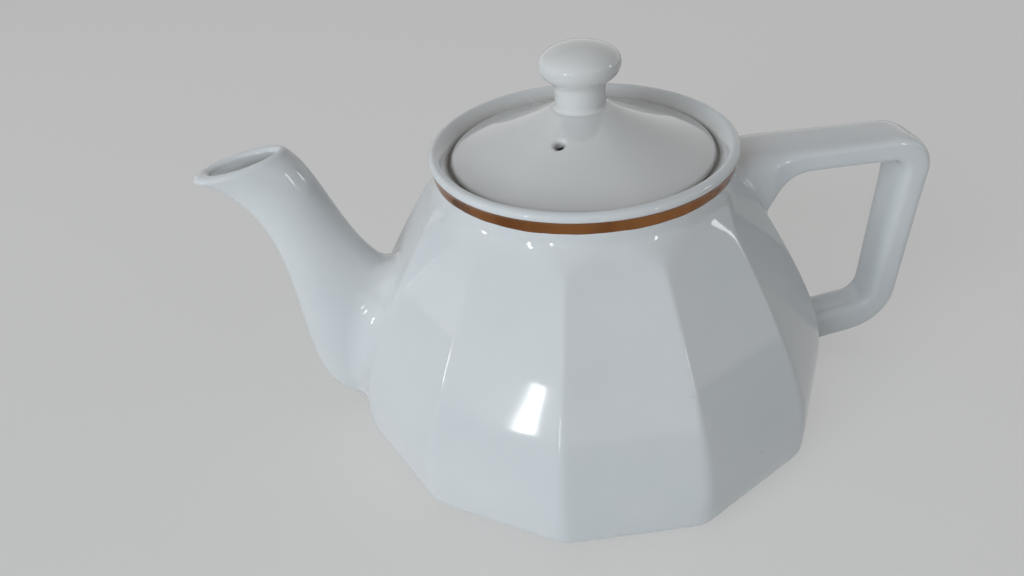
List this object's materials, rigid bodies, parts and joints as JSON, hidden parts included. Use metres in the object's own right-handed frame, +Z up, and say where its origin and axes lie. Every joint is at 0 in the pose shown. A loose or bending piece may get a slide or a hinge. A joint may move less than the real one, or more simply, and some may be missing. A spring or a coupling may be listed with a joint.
{
  "type": "teapot",
  "caption": "Faceted porcelain teapot with a flat-topped handle, a curved spout, a thin gilt band under the lip and a loose knobbed lid.",
  "frame": {"origin": "centre of the foot ring's flat underside, on the table", "axes": "+Z up the pot's axis, +X towards the handle, -X towards the spout"},
  "size_m": [0.2341, 0.1606, 0.127],
  "materials": {
    "porcelain": "cool white porcelain under a clear, glossy glaze",
    "gilt": "burnished gold fired over the glaze"
  },
  "bodies": {
    "pot": {"body": "porcelain", "spout": "porcelain", "handle": "porcelain", "gilt_band": "gilt"},
    "lid": {"lid": "porcelain", "lid_knob": "porcelain"}
  },
  "joints": [
    {"name": "lid_lift", "type": "slide", "parent": "pot", "child": "lid", "axis": [0, 0, 1], "range_m": [0, 0.08]}
  ]
}
